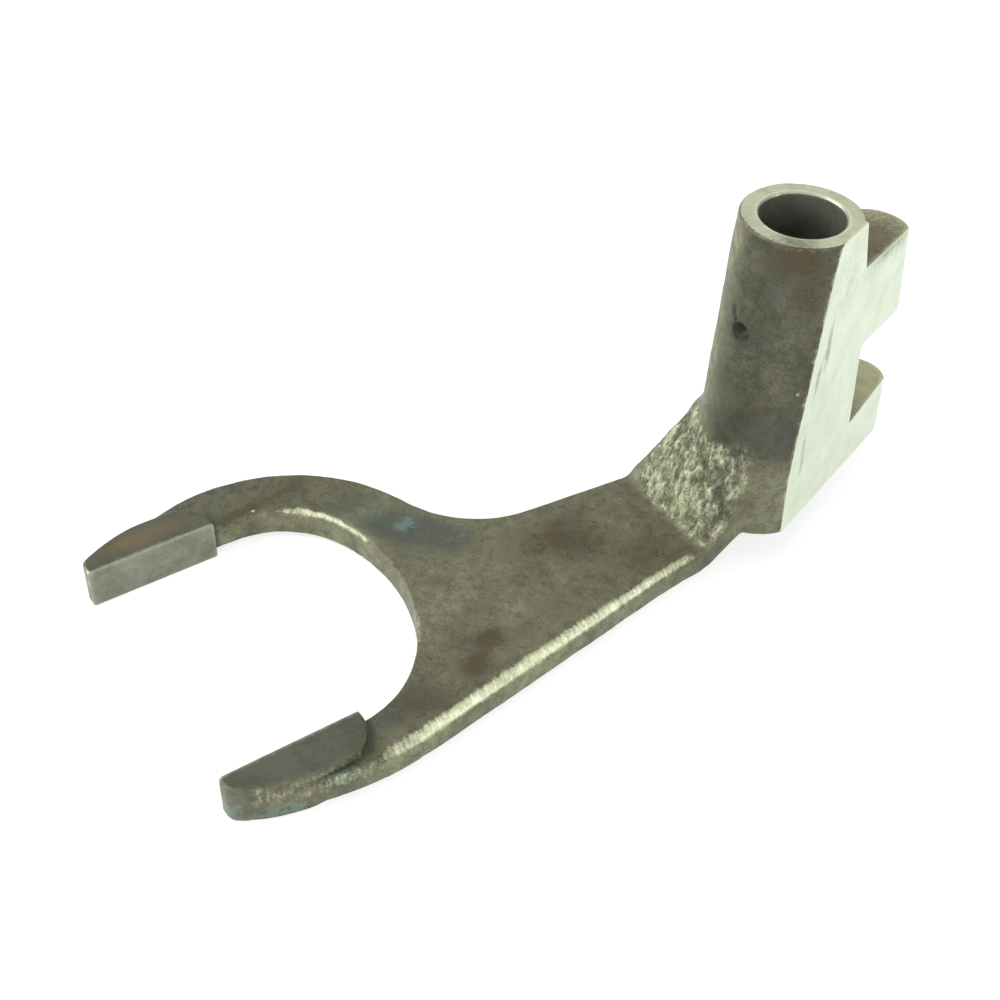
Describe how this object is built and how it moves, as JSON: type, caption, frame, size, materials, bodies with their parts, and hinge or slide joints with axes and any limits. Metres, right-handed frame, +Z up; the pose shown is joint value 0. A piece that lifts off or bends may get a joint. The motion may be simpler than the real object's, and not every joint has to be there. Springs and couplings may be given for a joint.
{
  "type": "reverse gear shift fork",
  "caption": "Forged steel reverse gear shift fork with a bored rail boss, two selector lugs with a gate between them, a flat arm and a two-tined fork with wear pads.",
  "frame": {"origin": "on the axis of the rail bore, level with the upper face of the fork plate", "axes": "+Z up along the rail bore, from the plate's side of the boss to its top; +X along the fork towards the tips of the tines"},
  "size_m": [0.1651, 0.0804, 0.0738],
  "materials": {
    "forged_steel": "worn forged steel with an oily brown-grey patina, ground and milled faces brighter"
  },
  "bodies": {
    "root": {"reverse_shift_fork": "forged_steel"}
  },
  "joints": []
}
